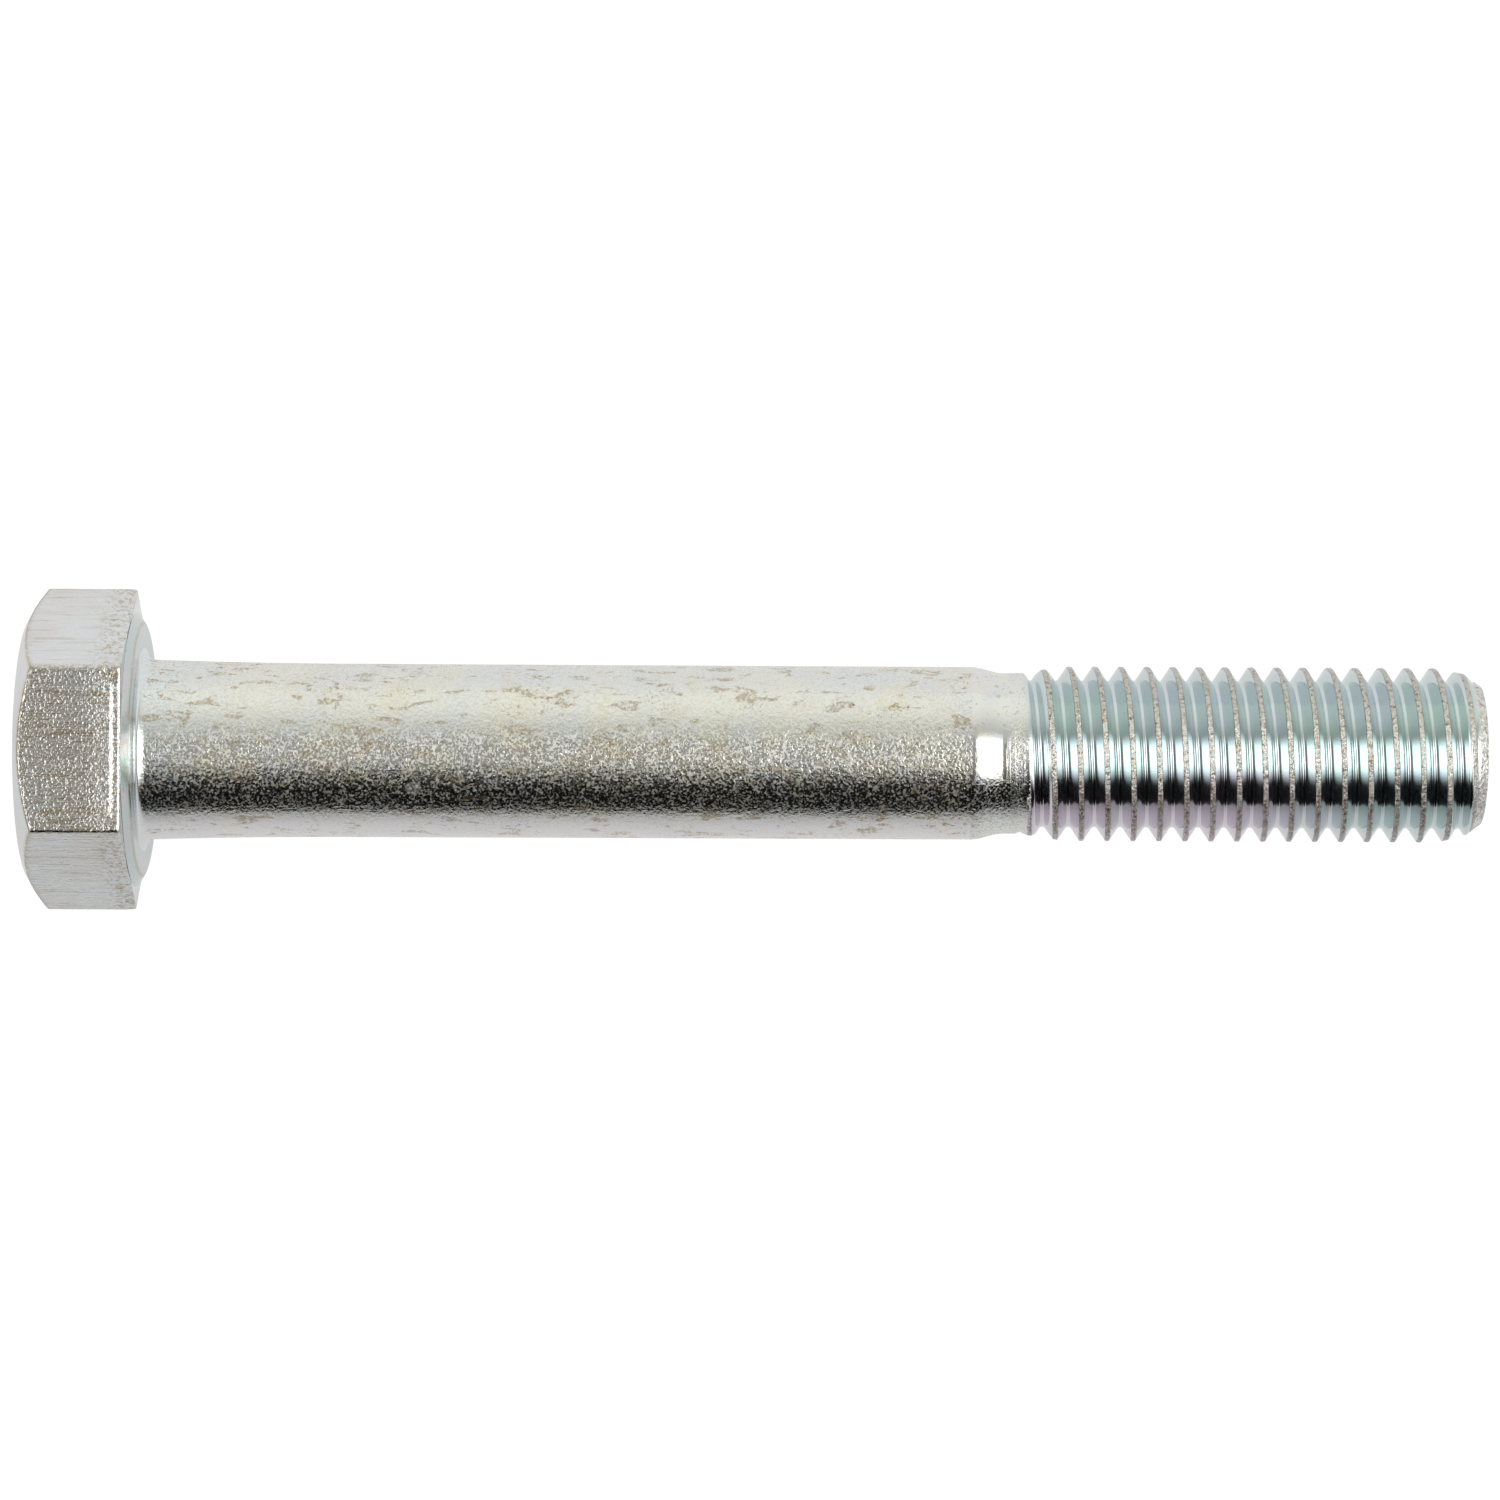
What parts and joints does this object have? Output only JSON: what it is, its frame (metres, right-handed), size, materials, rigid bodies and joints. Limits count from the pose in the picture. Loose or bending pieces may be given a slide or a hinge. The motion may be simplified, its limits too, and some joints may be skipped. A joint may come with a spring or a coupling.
{
  "type": "hex bolt",
  "caption": "Metric hex head bolt with a washer face, a long plain shank and a partial right-hand rolled thread, zinc plated.",
  "frame": {"origin": "centre of the bearing face under the head, on the bolt's axis", "axes": "+X along the bolt's axis from the head to the point, +Z out of the upper wrench flat, +Y towards a corner of the hexagon; the bolt lies on its lower flat"},
  "size_m": [0.0977, 0.0216, 0.0188],
  "materials": {
    "trimmed_zinc": "clear zinc plate over trimmed steel, grey-white with fine lines along the axis and a sparkling grain",
    "pressed_zinc": "clear zinc plate over a pressed face, blue-grey and smoother than the head's flats",
    "drawn_zinc": "clear zinc plate over drawn wire, matt grey-white with a pebbled grain and yellowish rub marks",
    "burnished_zinc": "clear zinc plate over metal burnished by the reducing die, bright and smooth",
    "rolled_zinc": "clear zinc plate over rolled thread, bright blue-grey flanks with a rough crest seam"
  },
  "bodies": {
    "root": {"hex_head": "trimmed_zinc", "washer_face": "pressed_zinc", "shank": "drawn_zinc", "thread_neck": "burnished_zinc", "thread": "rolled_zinc"}
  },
  "joints": []
}
